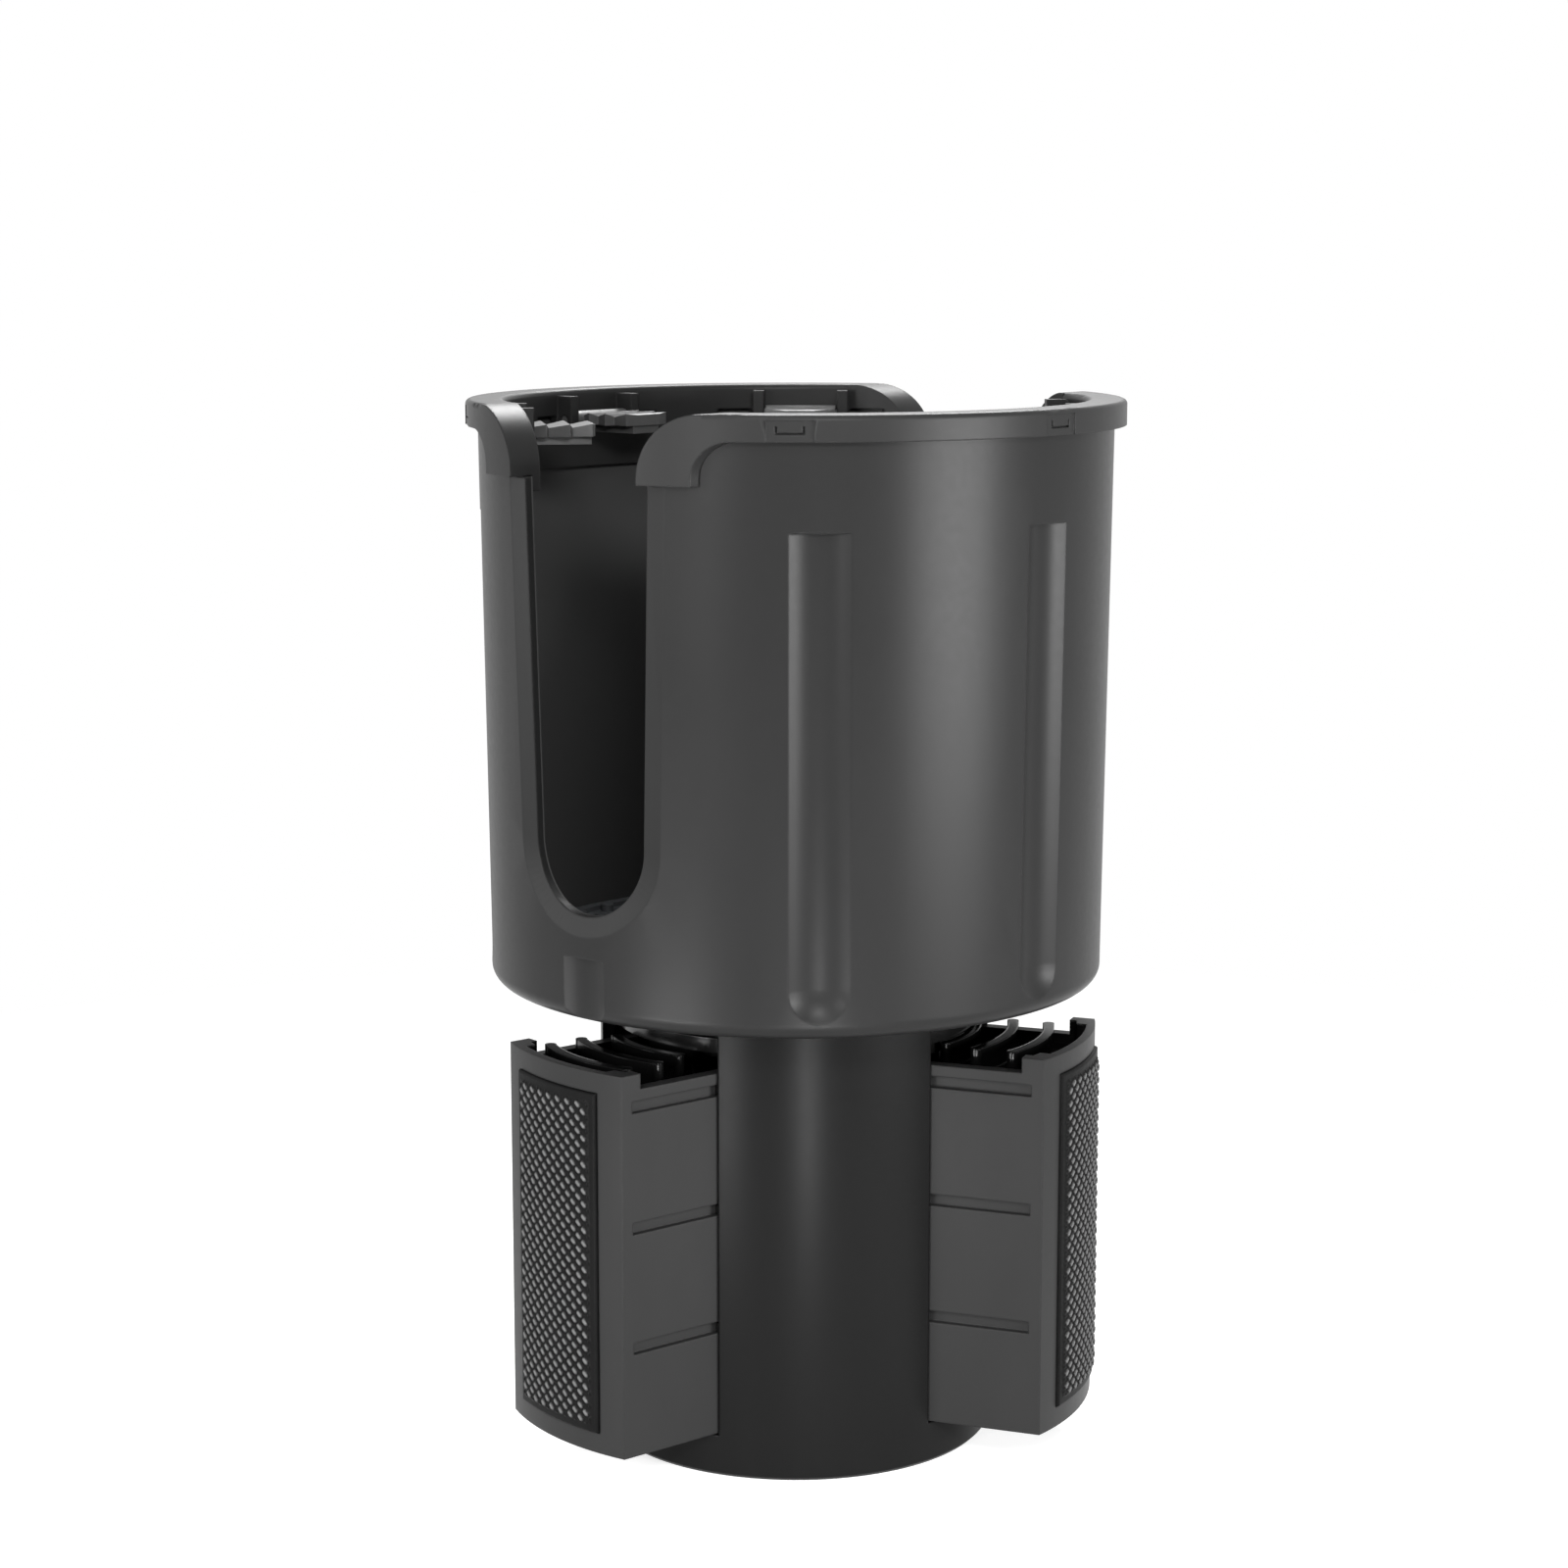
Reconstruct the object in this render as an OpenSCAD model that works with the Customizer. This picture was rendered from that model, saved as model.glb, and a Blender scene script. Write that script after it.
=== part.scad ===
// Expanding cup holder for a car: a wide slotted cup turns on a slim base,
// and a scroll plate under the cup drives three gripping shoes in or out.
// Millimetres. The origin is the centre of the base's underside, +Z is up,
// and the shoes stand fully out, where they grip the vehicle's cup well.

/* [Base] */
// Outer radius of the base tube
base_r = 32; // [30:0.5:36]
// Wall of the base tube
base_wall = 2; // [1.6:0.1:2.6]
// Height of the base tube
base_h = 75.3; // [70:0.1:90]
// Height of the closed ring above the windows
base_ring_h = 1.9; // [1.5:0.1:4]
// Height of the sill under the windows
sill_h = 6.7; // [6:0.1:9]
// Thickness of the cover that closes the base from below
cover_t = 3; // [2.5:0.1:4]
// Wall of the channels that guide the shoes
guide_wall = 1.5; // [1.2:0.1:2]
// Radius of the centre post
post_r = 6; // [5.5:0.1:6.5]
// Radius of the post that stops each shoe at both ends of its travel
stop_r = 2; // [1.5:0.1:2.2]
// Distance of the stop posts from the shoe's middle plane
stop_side = 6.2; // [5.5:0.1:7.5]

/* [Shoes] */
// Width of a shoe
shoe_w = 29.5; // [27:0.1:30]
// Distance by which a shoe stands out of the base tube when it is fully out
shoe_out = 17.1; // [15.5:0.1:20]
// Radius of a shoe's curved outer face
shoe_face_r = 45; // [40:0.5:60]
// Length of a shoe inside the outside of the base tube when it is fully out
shoe_tail = 9.5; // [8:0.1:10]
// Travel of a shoe between fully out and fully in
shoe_travel = 12; // [8:0.5:12]
// Side walls, floor and deck of a shoe
shoe_wall = 2.2; // [1.8:0.1:2.6]
// Outer wall of a shoe, which carries the pad
shoe_front = 3; // [2.6:0.1:3.6]
// Length of the thick block at each outer corner of a shoe
shoe_block = 3.6; // [3:0.1:4.5]
// Thin middle part of that wall above the deck
shoe_lip = 1.4; // [1.2:0.1:2]
// Ribs inside a shoe
shoe_rib = 1.6; // [1.2:0.1:2]
// Space above a shoe's outer wall, up to the top of the window
shoe_headroom = 5.4; // [5:0.1:8]
// Drop from the outer wall's top to the top of the side walls
rail_drop = 2.4; // [2:0.1:3]
// Drop from the side walls' top to the deck that carries the teeth
deck_drop = 1.7; // [1.3:0.1:2.5]
// Height of the lowest groove in a shoe's side, above the shoe's underside
groove_z = 16.5; // [14:0.5:18]
// Drop from the deck to the ledge of the highest groove
groove_drop = 2; // [1:0.1:3]
// Depth of the grooves
groove_depth = 1; // [0.8:0.1:1.2]
// Height of the grooves
groove_h = 1.9; // [1.6:0.1:2.4]

/* [Pads] */
// Width of a rubber pad
pad_w = 20.4; // [18:0.1:24]
// Plain margin of the shoe above and below its pad
pad_margin = 3.2; // [2.5:0.1:6]
// Thickness of a pad
pad_t = 2.2; // [1.8:0.1:2.6]
// Height by which a pad stands proud of its shoe
pad_proud = 1; // [0.6:0.1:1.2]
// Width of the plain edge round a pad's field
pad_edge = 1.2; // [0.8:0.1:2]

/* [Scroll] */
// Radial distance that a shoe moves in one turn of the cup
scroll_pitch = 6; // [5.6:0.1:6.6]
// Thickness of the scroll's spiral wall
spiral_t = 1.6; // [1.2:0.1:1.8]
// Thickness of the scroll plate's disc
disc_t = 2.4; // [2:0.1:3]
// Thickness of a shoe's teeth
tooth_t = 1.6; // [1.4:0.1:1.8]
// Radius of the rounded ends of the teeth
tooth_end_r = 0.95; // [0.9:0.01:1]
// Drop from a shoe's outer wall to the top of its teeth
tooth_drop = 0.2; // [0.1:0.1:0.6]
// Radius of the pivot bolt's shank
bolt_r = 3; // [2.5:0.1:3.2]
// Length of the bolt inside the centre post
bolt_grip = 20; // [15:1:30]
// Radius of the bolt's head
bolt_head_r = 5.4; // [5:0.1:5.8]
// Height of the bolt's head
bolt_head_h = 3.2; // [2.5:0.1:3.5]
// Radius of the washer
washer_r = 7.2; // [6.5:0.1:7.5]
// Thickness of the washer
washer_t = 1; // [0.8:0.1:1.2]

/* [Cup] */
// Outer radius of the cup's wall at its top
cup_top_r = 50.6; // [49:0.1:53]
// Amount by which the cup's wall narrows from its top to its underside
cup_taper = 1.1; // [0.6:0.1:2.4]
// Height of the cup
cup_h = 91.3; // [80:0.1:110]
// Wall of the cup
cup_wall = 2.4; // [2:0.1:2.8]
// Floor of the cup
cup_floor = 2.6; // [2.2:0.1:3.4]
// Rounding of the cup's lower edge
cup_round = 2.5; // [1.5:0.1:2.6]
// Direction of the first handle slot, in degrees from +X
slot_dir = 39.4; // [30:0.1:60]
// Half the width of a handle slot at the rim
slot_top_half = 13.1; // [11:0.1:15]
// Half the width of a handle slot at its round bottom
slot_low_half = 11.3; // [9:0.1:11.5]
// Height of a slot's lowest point above the cup's underside
slot_low = 16.5; // [14:0.1:30]
// Width of the bevel round a slot
bevel_w = 3.2; // [2:0.1:4]
// Depth of the bevel at the slot's edge
bevel_depth = 0.8; // [0.6:0.1:1.8]
// Width of the notch under a slot
notch_w = 8.8; // [6:0.1:11]
// Height of the notch
notch_h = 9.9; // [6:0.1:13]
// Depth of the notch
notch_depth = 1.2; // [0.9:0.1:1.6]
// Width of a flute in the cup's wall
flute_w = 9.3; // [6:0.1:12]
// Depth of a flute
flute_depth = 1.5; // [0.8:0.1:1.6]
// Height of a flute's round lower end above the cup's underside
flute_low = 2.8; // [1:0.1:10]
// Distance from a flute's flat top down from the top of the wall
flute_drop = 15.4; // [12:0.1:30]

/* [Rim] */
// Thickness of the rim cap's outer band
band_t = 1.8; // [1.4:0.1:3]
// Height of the rim cap's outer band
band_h = 4; // [3:0.1:6]
// Thickness of the rim cap over the cup's wall
rim_t = 2; // [1.5:0.1:3]
// Depth of the skirt inside the cup
skirt_h = 13; // [10:0.5:16]
// Thickness of that skirt and of the legs' edges
skirt_t = 1.6; // [1.2:0.1:2]
// Length of the legs beside the slots
leg_h = 10.6; // [9:0.1:16]
// Width of a leg
leg_w = 8.2; // [6:0.1:12]
// Radius of the large corner at the top of a leg
leg_corner = 9.8; // [6:0.1:10]
// Radius of the fillet between a leg and the band
leg_fillet = 5.5; // [3:0.1:6]
// Width of the clip panels in the band
clip_w = 7; // [5:0.1:9]

/* [Gripper tabs] */
// Width of a rubber tab
tab_w = 12; // [9:0.5:14]
// Reach of a tab from its pivot to its tip
tab_l = 11.7; // [9:0.1:14]
// Thickness of a tab
tab_t = 1.4; // [1.2:0.1:2]
// Height of the ridges on a tab
tab_ridge = 0.6; // [0.3:0.1:1]
// Depth of the rib under a tab
tab_rib = 1.3; // [0.8:0.1:1.6]
// Depth of the tabs' pivots under the rim's top
tab_drop = 5; // [4.5:0.1:6]
// Radius of the barrel at a tab's root
barrel_r = 1.5; // [1.2:0.1:1.7]
// Radius of the pins at the barrel's ends
tab_pin_r = 0.8; // [0.6:0.1:0.9]
// Thickness of the lugs that hold the pins
lug_t = 1.8; // [1.4:0.1:2.4]

/* [Mat] */
// Thickness of the mat's plate
mat_t = 1.6; // [1:0.1:2.5]
// Width of the mat's raised edge
mat_edge_w = 2; // [1:0.1:4]
// Height of the mat's raised edge above its plate
mat_edge_h = 0.8; // [0.4:0.1:1.5]
// Radius of a stud on the mat
stud_r = 1.1; // [0.8:0.1:1.4]
// Height of a stud
stud_h = 1.2; // [0.6:0.1:2]

/* [Screws] */
// Radius of the screws' shanks
screw_r = 1.5; // [1.2:0.1:1.7]
// Radius of the screws' heads
screw_head_r = 3; // [2.6:0.1:3.2]
// Length of the screws under the cup
scroll_screw_l = 8.4; // [6:0.1:9]
// Length of the screws under the base
base_screw_l = 14; // [10:0.5:20]

/* [Hidden] */

// Clearance between parts that move on each other
gap = 0.3;
// Clearance of a shaft in its bore
fit = 0.05;
// Clearance of a part that is pushed or screwed into another
seat = 0.1;
// Overlap that joins two shapes of one moulding, or carries a cut past a face
join = 0.1;

shoe_count = 3;
shoe_dirs = [for (k = [0:shoe_count - 1]) 90 + k * 360 / shoe_count];
pillar_dirs = [for (d = shoe_dirs) d + 180 / shoe_count];
bore_r = base_r - base_wall;
corridor = shoe_w / 2 + gap;
cover_r = bore_r - seat;
window_top = base_h - base_ring_h;

shoe_reach = base_r + shoe_out;
shoe_inner = base_r - shoe_tail;
shoe_z = sill_h + gap;
front_z = window_top - shoe_headroom;
rail_z = front_z - rail_drop;
deck_z = rail_z - deck_drop;
guide_z = rail_z - gap;
shoe_floor_z = shoe_z + shoe_wall;
corner_r = sqrt(pow(shoe_face_r, 2) - pow(shoe_w / 2, 2)) + shoe_reach - shoe_face_r;
groove_pitch = (deck_z - groove_drop - shoe_z - groove_z) / 2;
groove_zs = [for (i = [0:2]) shoe_z + groove_z + i * groove_pitch];
// Tongue that carries the innermost tooth of a shoe
tongue_half = 8.5;
tongue_l = 3;
// Floor of a shoe between its inner end and the slot for the post
stop_set = 2.5;
// Radius at which the post stands that stops a shoe in its slot
stop_at = shoe_inner + stop_r + stop_set;

tooth_z = front_z - tooth_drop;
// Clearance round the scroll's disc and over the teeth
disc_gap = 0.4;
spiral_z = rail_z + gap;
disc_z = tooth_z + disc_gap;
disc_r = bore_r - disc_gap;
hub_z = spiral_z - spiral_t;
hub_r = 8.5;
cup_z = base_h + gap;
// Floor of the hub under the washer
hub_floor = 6.1;
counterbore_z = hub_z + hub_floor;
counterbore_r = washer_r + disc_gap;
collar_wall = 2;
collar_r = counterbore_r + collar_wall;
// Distance of the third shoe's innermost tooth from the shoe's inner end
tooth_set = 1.5;
// Radius of the middle of that tooth, fully out
tooth_first = shoe_inner + tooth_set;
tooth_halves = [5, 8, 10, 10];
tooth_radii = [18, 22, 28, 28];

cup_low_r = cup_top_r - cup_taper;
wall_top = cup_z + cup_h;
rim_top = wall_top + rim_t;
floor_z = cup_z + cup_floor;
wall_lean = atan((cup_top_r - cup_low_r) / cup_h);
slot_dirs = [slot_dir, slot_dir + 180];
slot_arc_z = cup_z + slot_low + slot_low_half;
flute_steps = [45, 90, 135, 225, 270, 315];
tab_steps = [40, 90, 140, 220, 270, 320];
tab_dirs = [for (s = tab_steps) slot_dir + s];
band_in = cup_top_r + seat;
rim_r = band_in + band_t;
// Cut-outs through the wall and the rim run from inside the skirt to beyond the band
cut_in = cup_top_r * 0.6;
cut_out = rim_r * 1.1;
skirt_out = cup_top_r - cup_wall - gap;
skirt_in = skirt_out - skirt_t;
tab_z = rim_top - tab_drop;
// The barrel is straight and the skirt is round, so the barrel's ends set the clearance
tab_pivot = sqrt(pow(skirt_in, 2) - pow(tab_w / 2, 2)) - gap - barrel_r;
tab_root = 0.6;
tab_barbs = 3;
// Distances of a tab's rib from the pivot and from the tip
tab_rib_from = 2.4;
tab_rib_end = 0.6;
// Wall of the bosses round the screws
boss_wall = 1.7;
scroll_screw_at = 18;
// Space between the heads of the base's screws and the bore of the tube
head_space = 2.5;
base_screw_at = bore_r - screw_head_r - head_space;
floor_bevel = 1;
mat_r = floor_radius(floor_z) - floor_bevel - seat;
mat_rings = [6, 12, 18, 24, 24, 24, 36, 36, 36, 36];

$fn = 96;

// Outer and inner radius of the cup's wall at a height
function wall_radius(z) = cup_low_r + (cup_top_r - cup_low_r) * (z - cup_z) / cup_h;
function floor_radius(z) = wall_radius(z) - cup_wall;

// Places children with their own +Y along a direction from the axis
module toward(direction) {
    rotate([0, 0, direction - 90]) children();
}

// Turns a flat outline of width and height into a bar that runs outward
module outward(from, to) {
    translate([0, to, 0]) rotate([90, 0, 0]) linear_extrude(to - from) children();
}

// Strips as wide as the shoes and their clearance, from the axis outward
module corridors(half) {
    for (d = shoe_dirs) toward(d) translate([-half, 0]) square([2 * half, 2 * base_r]);
}

module base_housing() {
    color("#2b2d2f") difference() {
        union() {
            tube_wall();
            translate([0, 0, cover_t]) linear_extrude(guide_z - cover_t) guide_outline();
            translate([0, 0, guide_z - guide_wall]) linear_extrude(guide_wall) pillar_outline(corridor);
            for (d = pillar_dirs) toward(d) screw_boss();
            for (d = shoe_dirs) toward(d) guide_ribs();
        }
        for (d = pillar_dirs) toward(d) translate([0, base_screw_at, 0])
            cylinder(h = base_screw_l + 1, r = screw_r + fit);
    }
}

module tube_wall() {
    chamfer = 0.6;
    difference() {
        rotate_extrude($fn = 144) polygon([
            [bore_r, 0], [base_r - chamfer, 0], [base_r, chamfer],
            [base_r, base_h - chamfer], [base_r - chamfer, base_h], [bore_r, base_h]
        ]);
        translate([0, 0, sill_h]) linear_extrude(window_top - sill_h) corridors(corridor);
    }
}

// The three pillars between the shoes, whose sides are this far from a shoe's middle
module pillar_outline(half) {
    difference() {
        circle(r = bore_r + join);
        corridors(half);
    }
}

module guide_outline() {
    difference() {
        pillar_outline(corridor);
        intersection() {
            pillar_outline(corridor + guide_wall);
            circle(r = bore_r - join);
        }
    }
}

module screw_boss() {
    translate([0, base_screw_at, cover_t])
        cylinder(h = guide_z - cover_t, r = screw_r + boss_wall);
}

// Ribs on the channel walls that run in the grooves of a shoe
module guide_ribs() {
    rib_in = 0.5;
    rib_h = groove_h - 2 * gap;
    for (side = [-1, 1], z = groove_zs)
        translate([side > 0 ? shoe_w / 2 - rib_in : -corridor - join, post_r * 2, z + gap])
            cube([rib_in + gap + join, bore_r - post_r * 2 - 2, rib_h]);
}

module base_cover() {
    color("#232527") difference() {
        union() {
            cylinder(h = cover_t, r = cover_r);
            cylinder(h = hub_z, r = post_r);
            for (d = shoe_dirs) toward(d) shoe_supports();
        }
        translate([0, 0, hub_z - bolt_grip - 1]) cylinder(h = bolt_grip + 2, r = bolt_r + fit);
        for (d = pillar_dirs) toward(d) translate([0, base_screw_at, 0]) screw_hole(cover_t);
    }
}

// Two ribs under a shoe and the post that runs in the slot of its floor
module shoe_supports() {
    rib_at = shoe_w / 3;
    rib_w = 2;
    rib_end = sqrt(pow(cover_r, 2) - pow(rib_at + rib_w, 2));
    for (side = [-1, 1]) translate([side * rib_at - rib_w / 2, rib_at, cover_t - join])
        cube([rib_w, rib_end - rib_at, sill_h - cover_t + join]);
    translate([stop_side, stop_at, cover_t - join])
        cylinder(h = shoe_floor_z + 0.8 - cover_t + join, r = stop_r);
}

// A hole through a plate, with a countersink below, from the plate's underside
module screw_hole(depth) {
    translate([0, 0, -join]) cylinder(h = depth + 2 * join, r = screw_r + seat);
    translate([0, 0, -join])
        cylinder(h = screw_head_r - screw_r + join, r1 = screw_head_r + seat + join, r2 = screw_r + seat);
}

// A countersunk screw whose head is flush with z = 0 and whose tip is up
module screw(length) {
    head_h = screw_head_r - screw_r;
    difference() {
        union() {
            cylinder(h = head_h, r1 = screw_head_r, r2 = screw_r);
            cylinder(h = length, r = screw_r);
        }
        for (turn = [0, 90]) rotate([0, 0, turn])
            translate([-screw_head_r * 0.6, -0.3, -join]) cube([screw_head_r * 1.2, 0.6, 0.8 + join]);
    }
}

module base_screws() {
    color("silver") for (d = pillar_dirs) toward(d)
        translate([0, base_screw_at, 0]) screw(base_screw_l);
}

module pivot_bolt() {
    head_z = counterbore_z + washer_t;
    color("silver") difference() {
        union() {
            translate([0, 0, hub_z - bolt_grip]) cylinder(h = head_z - hub_z + bolt_grip, r = bolt_r);
            translate([0, 0, head_z]) cylinder(h = bolt_head_h, r = bolt_head_r);
        }
        translate([0, 0, head_z + bolt_head_h - 2]) cylinder(h = 3, r = bolt_head_r * 0.55, $fn = 6);
    }
}

module pivot_washer() {
    color("silver") translate([0, 0, counterbore_z]) difference() {
        cylinder(h = washer_t, r = washer_r);
        translate([0, 0, -join]) cylinder(h = washer_t + 2 * join, r = bolt_r + fit);
    }
}

// Plan of a shoe: straight sides and a curved outer face, set back by some amount
module shoe_plan(half, from, set_back) {
    intersection() {
        translate([-half, from]) square([2 * half, 2 * shoe_reach]);
        translate([0, shoe_reach - shoe_face_r]) circle(r = shoe_face_r - set_back, $fn = 192);
    }
}

// One shoe, fully out along +Y, with the teeth moved by some part of the pitch
module shoe(tooth_shift) {
    difference() {
        union() {
            translate([0, 0, shoe_z]) linear_extrude(rail_z - shoe_z) shoe_plan(shoe_w / 2, shoe_inner, 0);
            translate([0, 0, rail_z - join]) linear_extrude(front_z - rail_z + join)
                shoe_plan(shoe_w / 2, corner_r - shoe_block, 0);
            translate([-tongue_half, shoe_inner - tongue_l, deck_z - shoe_wall])
                cube([2 * tongue_half, tongue_l + 1, shoe_wall]);
        }
        shoe_cells();
        translate([0, 0, deck_z]) linear_extrude(front_z) shoe_deck_plan();
        shoe_stop_slot();
        for (z = groove_zs) shoe_grooves(z);
        translate([0, 0, shoe_z + pad_margin]) linear_extrude(front_z - shoe_z - 2 * pad_margin)
            pad_plan(pad_w / 2, pad_t - pad_proud, 1);
    }
    for (i = [0:3]) translate([0, tooth_first + tooth_shift + i * scroll_pitch, deck_z - join])
        linear_extrude(tooth_z - deck_z + join) tooth_plan(tooth_radii[i], tooth_halves[i]);
}

// The open cells between the ribs, open towards the axis
module shoe_cells() {
    floors = [shoe_floor_z, groove_zs[0] + shoe_rib, groove_zs[1] + shoe_rib];
    roofs = [groove_zs[0], groove_zs[1], deck_z - shoe_wall];
    half = shoe_w / 2 - shoe_wall;
    for (i = [0:2]) translate([0, 0, floors[i]]) linear_extrude(roofs[i] - floors[i]) difference() {
        shoe_plan(half, shoe_inner - join, shoe_front);
        translate([-shoe_rib / 2, 0]) square([shoe_rib, shoe_reach]);
    }
}

// The space above the deck, between the side walls and the thin outer wall
module shoe_deck_plan() {
    block = 2;
    half = shoe_w / 2 - shoe_wall;
    shoe_plan(half, shoe_inner - join, shoe_front);
    shoe_plan(half - block, shoe_inner, shoe_lip);
}

module shoe_stop_slot() {
    half = stop_r + gap;
    from = stop_at;
    to = stop_at + shoe_travel + gap;
    translate([stop_side, 0, shoe_z - join]) linear_extrude(shoe_wall + 2 * join) {
        translate([-half, from]) square([2 * half, to - from]);
        translate([0, from]) circle(r = half);
        translate([0, to]) circle(r = half);
    }
}

// Grooves in both sides of a shoe, which stop short of its outer corners
module shoe_grooves(z) {
    stop = 2;
    for (side = [0, 1]) mirror([side, 0, 0]) translate([shoe_w / 2 - groove_depth, shoe_inner - 1, z])
        cube([groove_depth + join, corner_r - stop - shoe_inner + 1, groove_h]);
}

// A tooth: an arc with round ends, whose middle is at the origin
module tooth_plan(radius, half) {
    reach = asin(half / radius);
    translate([0, -radius]) {
        intersection() {
            difference() {
                circle(r = radius + tooth_t / 2);
                circle(r = radius - tooth_t / 2);
            }
            polygon([[0, 0], [-2 * half, 2 * radius * cos(reach)], [2 * half, 2 * radius * cos(reach)]]);
        }
        for (side = [-1, 1]) rotate(side * reach) translate([0, radius]) circle(r = tooth_end_r, $fn = 24);
    }
}

// Plan of a pad between its back and a face that stands out by some amount
module pad_plan(half, back, out) {
    difference() {
        shoe_plan(half, shoe_inner, -out);
        translate([0, shoe_reach - shoe_face_r]) circle(r = shoe_face_r - back, $fn = 192);
    }
}

module shoe_pad() {
    height = front_z - shoe_z - 2 * (pad_margin + seat);
    translate([0, 0, shoe_z + pad_margin + seat]) {
        linear_extrude(height) pad_plan(pad_w / 2 - seat, pad_t - pad_proud, pad_proud / 2);
        translate([0, 0, pad_edge]) linear_extrude(height - 2 * pad_edge)
            pad_plan(pad_w / 2 - seat - pad_edge, pad_t - pad_proud, pad_proud);
    }
}

// The part of the pitch by which each shoe's teeth are moved, so that all mesh
function shoe_shift(k) = scroll_pitch * (k == 0 ? -1 : k == 1 ? 1 : 0) / 3;

module shoe_at(k) {
    color("#3a3c3e") toward(shoe_dirs[k]) shoe(shoe_shift(k));
}

module pad_at(k) {
    color("#1e2022") toward(shoe_dirs[k]) shoe_pad();
}

module shoe_1() { shoe_at(0); }
module shoe_2() { shoe_at(1); }
module shoe_3() { shoe_at(2); }
module shoe_pad_1() { pad_at(0); }
module shoe_pad_2() { pad_at(1); }
module shoe_pad_3() { pad_at(2); }

// The spiral's middle line: it winds outward clockwise, seen from above
spiral_phase = tooth_first + scroll_pitch * (shoe_dirs[2] / 360 - 0.5);
spiral_first = hub_r + spiral_t / 2 + disc_gap;
spiral_last = disc_r - spiral_t / 2 - seat;
spiral_step = 10;
spiral_from = turn_at(spiral_first);
spiral_count = floor((turn_at(spiral_last) - spiral_from) / spiral_step);
function turn_at(r) = (r - spiral_phase) / scroll_pitch * 360;
function spiral_point(i, side) =
    let (turn = spiral_from + i * spiral_step, r = spiral_phase + scroll_pitch * turn / 360 + side * spiral_t / 2)
    [r * cos(-turn), r * sin(-turn)];

module spiral_outline() {
    polygon(concat(
        [for (i = [0:spiral_count]) spiral_point(i, 1)],
        [for (i = [spiral_count:-1:0]) spiral_point(i, -1)]
    ));
}

module scroll_plate() {
    color("#101112") difference() {
        union() {
            translate([0, 0, disc_z]) cylinder(h = disc_t, r = disc_r);
            translate([0, 0, spiral_z]) linear_extrude(disc_z - spiral_z + join) spiral_outline();
            translate([0, 0, hub_z]) cylinder(h = counterbore_z - hub_z, r = hub_r);
            translate([0, 0, disc_z]) cylinder(h = cup_z - disc_z, r = collar_r);
            for (d = pillar_dirs) toward(d) translate([0, scroll_screw_at, disc_z])
                cylinder(h = cup_z - disc_z, r = screw_r + boss_wall + disc_gap);
        }
        translate([0, 0, hub_z - join]) cylinder(h = counterbore_z - hub_z + 2 * join, r = bolt_r + fit);
        translate([0, 0, counterbore_z]) cylinder(h = cup_z - counterbore_z + join, r = counterbore_r);
        for (d = pillar_dirs) toward(d) translate([0, scroll_screw_at, floor_z - scroll_screw_l - 0.2])
            cylinder(h = scroll_screw_l, r = screw_r + fit);
    }
}

module scroll_screws() {
    color("silver") for (d = pillar_dirs) toward(d)
        translate([0, scroll_screw_at, floor_z]) mirror([0, 0, 1]) screw(scroll_screw_l);
}

// Section of the cup: a leaning wall on a floor, with a rounded lower edge
module cup_section() {
    difference() {
        union() {
            translate([cup_low_r - cup_round, cup_z + cup_round]) circle(r = cup_round, $fn = 48);
            polygon([
                [0, cup_z], [cup_low_r - cup_round, cup_z], [cup_low_r - cup_round, cup_z + cup_round],
                [cup_low_r, cup_z + cup_round], [cup_top_r, wall_top], [0, wall_top]
            ]);
        }
        polygon([
            [-1, floor_z], [floor_radius(floor_z) - floor_bevel, floor_z],
            [floor_radius(floor_z + floor_bevel), floor_z + floor_bevel],
            [floor_radius(wall_top + 1), wall_top + 1], [-1, wall_top + 1]
        ]);
    }
}

// Elevation of a handle slot, widened by some amount all round
module slot_outline(grow) {
    translate([0, slot_arc_z]) circle(r = slot_low_half + grow);
    polygon([
        [-slot_low_half - grow, slot_arc_z], [slot_low_half + grow, slot_arc_z],
        [slot_top_half + grow, rim_top + 1], [-slot_top_half - grow, rim_top + 1]
    ]);
}

// Points round a slot's outline, down one side, round the bottom and up the other
bevel_arcs = 40;
function slot_points(grow) = concat(
    [[-slot_top_half - grow, rim_top + 1]],
    [for (i = [0:bevel_arcs]) let (a = 180 + 180 * i / bevel_arcs)
        [(slot_low_half + grow) * cos(a), slot_arc_z + (slot_low_half + grow) * sin(a)]],
    [[slot_top_half + grow, rim_top + 1]]
);
// The same outline laid on the cup's wall, out of it or into it by some amount
function slot_on_wall(grow, out) =
    [for (p = slot_points(grow)) [p[0], sqrt(pow(wall_radius(p[1]) + out, 2) - pow(p[0], 2)), p[1]]];

// Cutter for the bevel: it widens evenly from inside the opening to beyond the wall
module slot_bevel() {
    inside = 1;
    beyond = 0.3;
    deep = bevel_depth * (1 + inside / bevel_w);
    wide = bevel_w * (1 + beyond / bevel_depth);
    count = bevel_arcs + 3;
    far = [for (p = slot_points(wide)) [p[0], 2 * cup_top_r, p[1]]];
    points = concat(slot_on_wall(-inside, -deep), slot_on_wall(wide, beyond), far);
    polyhedron(
        points = points,
        faces = concat(
            [for (i = [1:count - 2]) [0, i + 1, i]],
            [for (i = [1:count - 2]) [2 * count, 2 * count + i, 2 * count + i + 1]],
            [for (k = [0, 1], i = [0:count - 1]) let (j = (i + 1) % count)
                [k * count + i, (k + 1) * count + j, (k + 1) * count + i]],
            [for (k = [0, 1], i = [0:count - 1]) let (j = (i + 1) % count)
                [k * count + i, k * count + j, (k + 1) * count + j]]
        )
    );
}

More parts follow.
